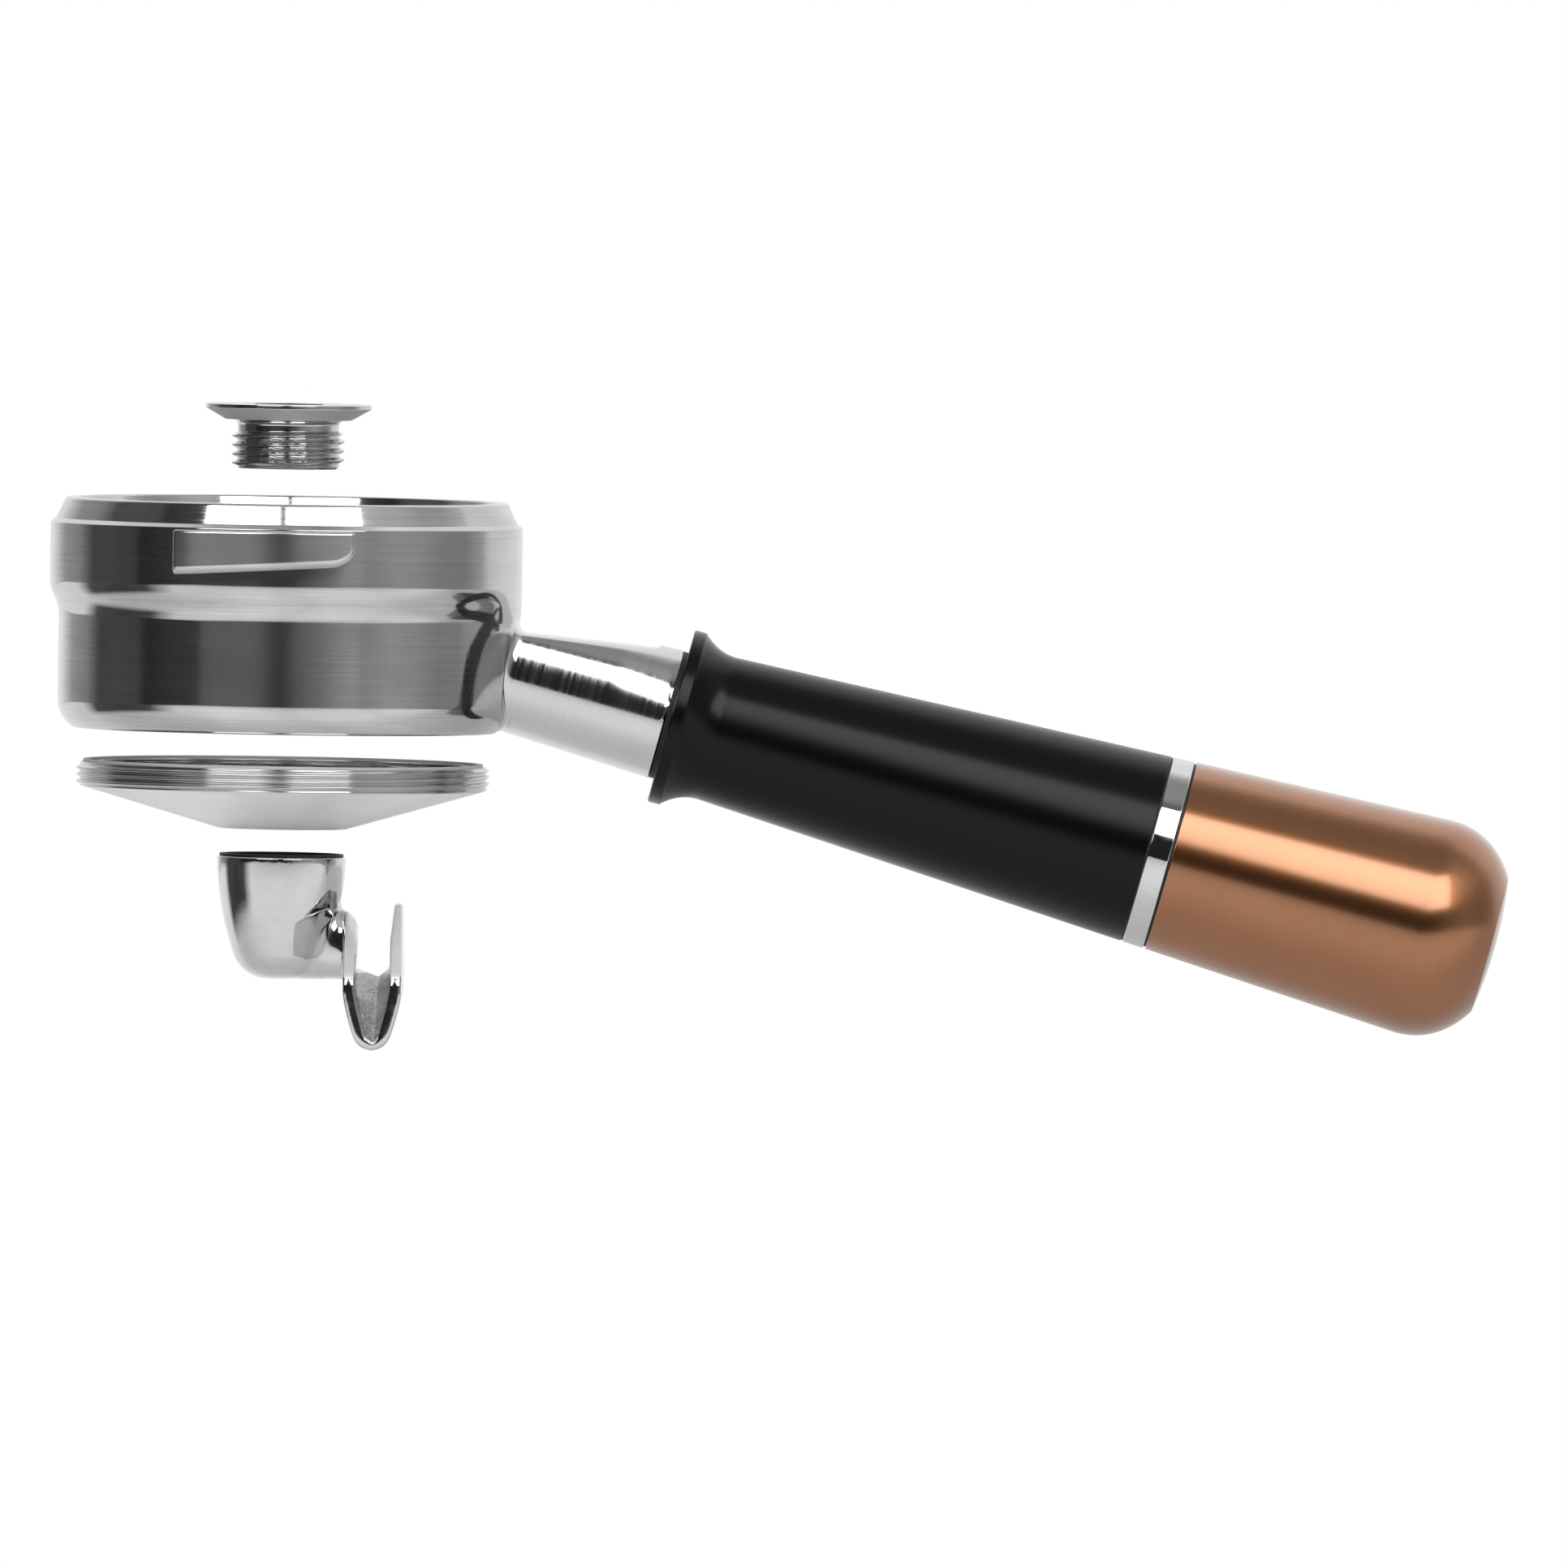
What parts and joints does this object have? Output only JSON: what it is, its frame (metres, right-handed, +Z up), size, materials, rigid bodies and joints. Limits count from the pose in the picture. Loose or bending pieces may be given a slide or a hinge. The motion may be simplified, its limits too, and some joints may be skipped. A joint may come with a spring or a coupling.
{
  "type": "portafilter",
  "caption": "Espresso portafilter shown apart: bayonet head with tapered grip, hollow clamping screw above, threaded dished base and cast double spout below",
  "frame": {"origin": "centre of the head's flat rim, where the machine's group takes it", "axes": "+X from the head towards the grip, +Z up out of the basket bore, +Y away from the picture's viewer"},
  "size_m": [0.2163, 0.078, 0.0954],
  "materials": {
    "satin_steel": "fine satin polish on stainless steel",
    "polished_steel": "mirror polished stainless steel",
    "cast_steel": "polished casting with a rough cast channel",
    "spring_steel": "drawn wire",
    "plain_steel": "turned",
    "black_anodised": "matt black anodised",
    "copper_anodised": "copper anodised, brushed round the axis",
    "seal_rubber": "moulded"
  },
  "bodies": {
    "head": {"head_casting": "satin_steel", "basket_spring": "spring_steel", "neck_stud": "plain_steel", "pilot_seal": "seal_rubber"},
    "base_seal": {"base_gasket": "seal_rubber"},
    "base": {"base_plate": "satin_steel"},
    "spout_seal": {"spout_washer": "seal_rubber"},
    "spout": {"spout_casting": "cast_steel"},
    "screw": {"spout_screw": "polished_steel"},
    "grip_seal": {"collar_washer": "seal_rubber"},
    "grip": {"grip_sleeve": "black_anodised", "threaded_barrel": "plain_steel", "barrel_dowel": "plain_steel", "tie_rod": "plain_steel", "front_gasket": "seal_rubber", "trim_ring": "polished_steel"},
    "cap_seal": {"rear_gasket": "seal_rubber"},
    "cap": {"end_cap": "copper_anodised", "balance_weight": "plain_steel", "weight_clip": "spring_steel"}
  },
  "joints": [
    {"name": "base_travel", "type": "slide", "parent": "head", "child": "base_seal", "axis": [0, 0, 1], "range_m": [0, 0.0086]},
    {"name": "base_turn", "type": "hinge", "parent": "base_seal", "child": "base", "pos_m": [0, 0, -0.0435], "axis": [0, 0, 1], "range_deg": [0, 3096]},
    {"name": "spout_lift", "type": "slide", "parent": "base_seal", "child": "spout_seal", "axis": [0, 0, 1], "range_m": [0, 0.0037]},
    {"name": "spout_swivel", "type": "hinge", "parent": "spout_seal", "child": "spout", "pos_m": [0, 0, -0.056], "axis": [0, 0, 1], "continuous": true},
    {"name": "screw_drop", "type": "slide", "parent": "base_seal", "child": "screw", "axis": [0, 0, -1], "range_m": [0, 0.0599]},
    {"name": "grip_travel", "type": "slide", "parent": "head", "child": "grip_seal", "axis": [-0.9673, 0, 0.2538], "range_m": [-0.01575, 0]},
    {"name": "grip_turn", "type": "hinge", "parent": "grip_seal", "child": "grip", "pos_m": [0.07254, 0, -0.03498], "axis": [-0.9673, 0, 0.2538], "range_deg": [-3240, 0]},
    {"name": "cap_travel", "type": "slide", "parent": "grip", "child": "cap_seal", "axis": [-0.9673, 0, 0.2538], "range_m": [-0.0135, 0]},
    {"name": "cap_turn", "type": "hinge", "parent": "cap_seal", "child": "cap", "pos_m": [0.14025, 0, -0.05275], "axis": [-0.9673, 0, 0.2538], "range_deg": [-3240, 0]}
  ],
  "couplings": [
    {"joint": "base_travel", "follows": "base_turn", "m_per_rad": 0.00015915},
    {"joint": "grip_travel", "follows": "grip_turn", "m_per_rad": 0.00027852},
    {"joint": "cap_travel", "follows": "cap_turn", "m_per_rad": 0.00023873}
  ]
}
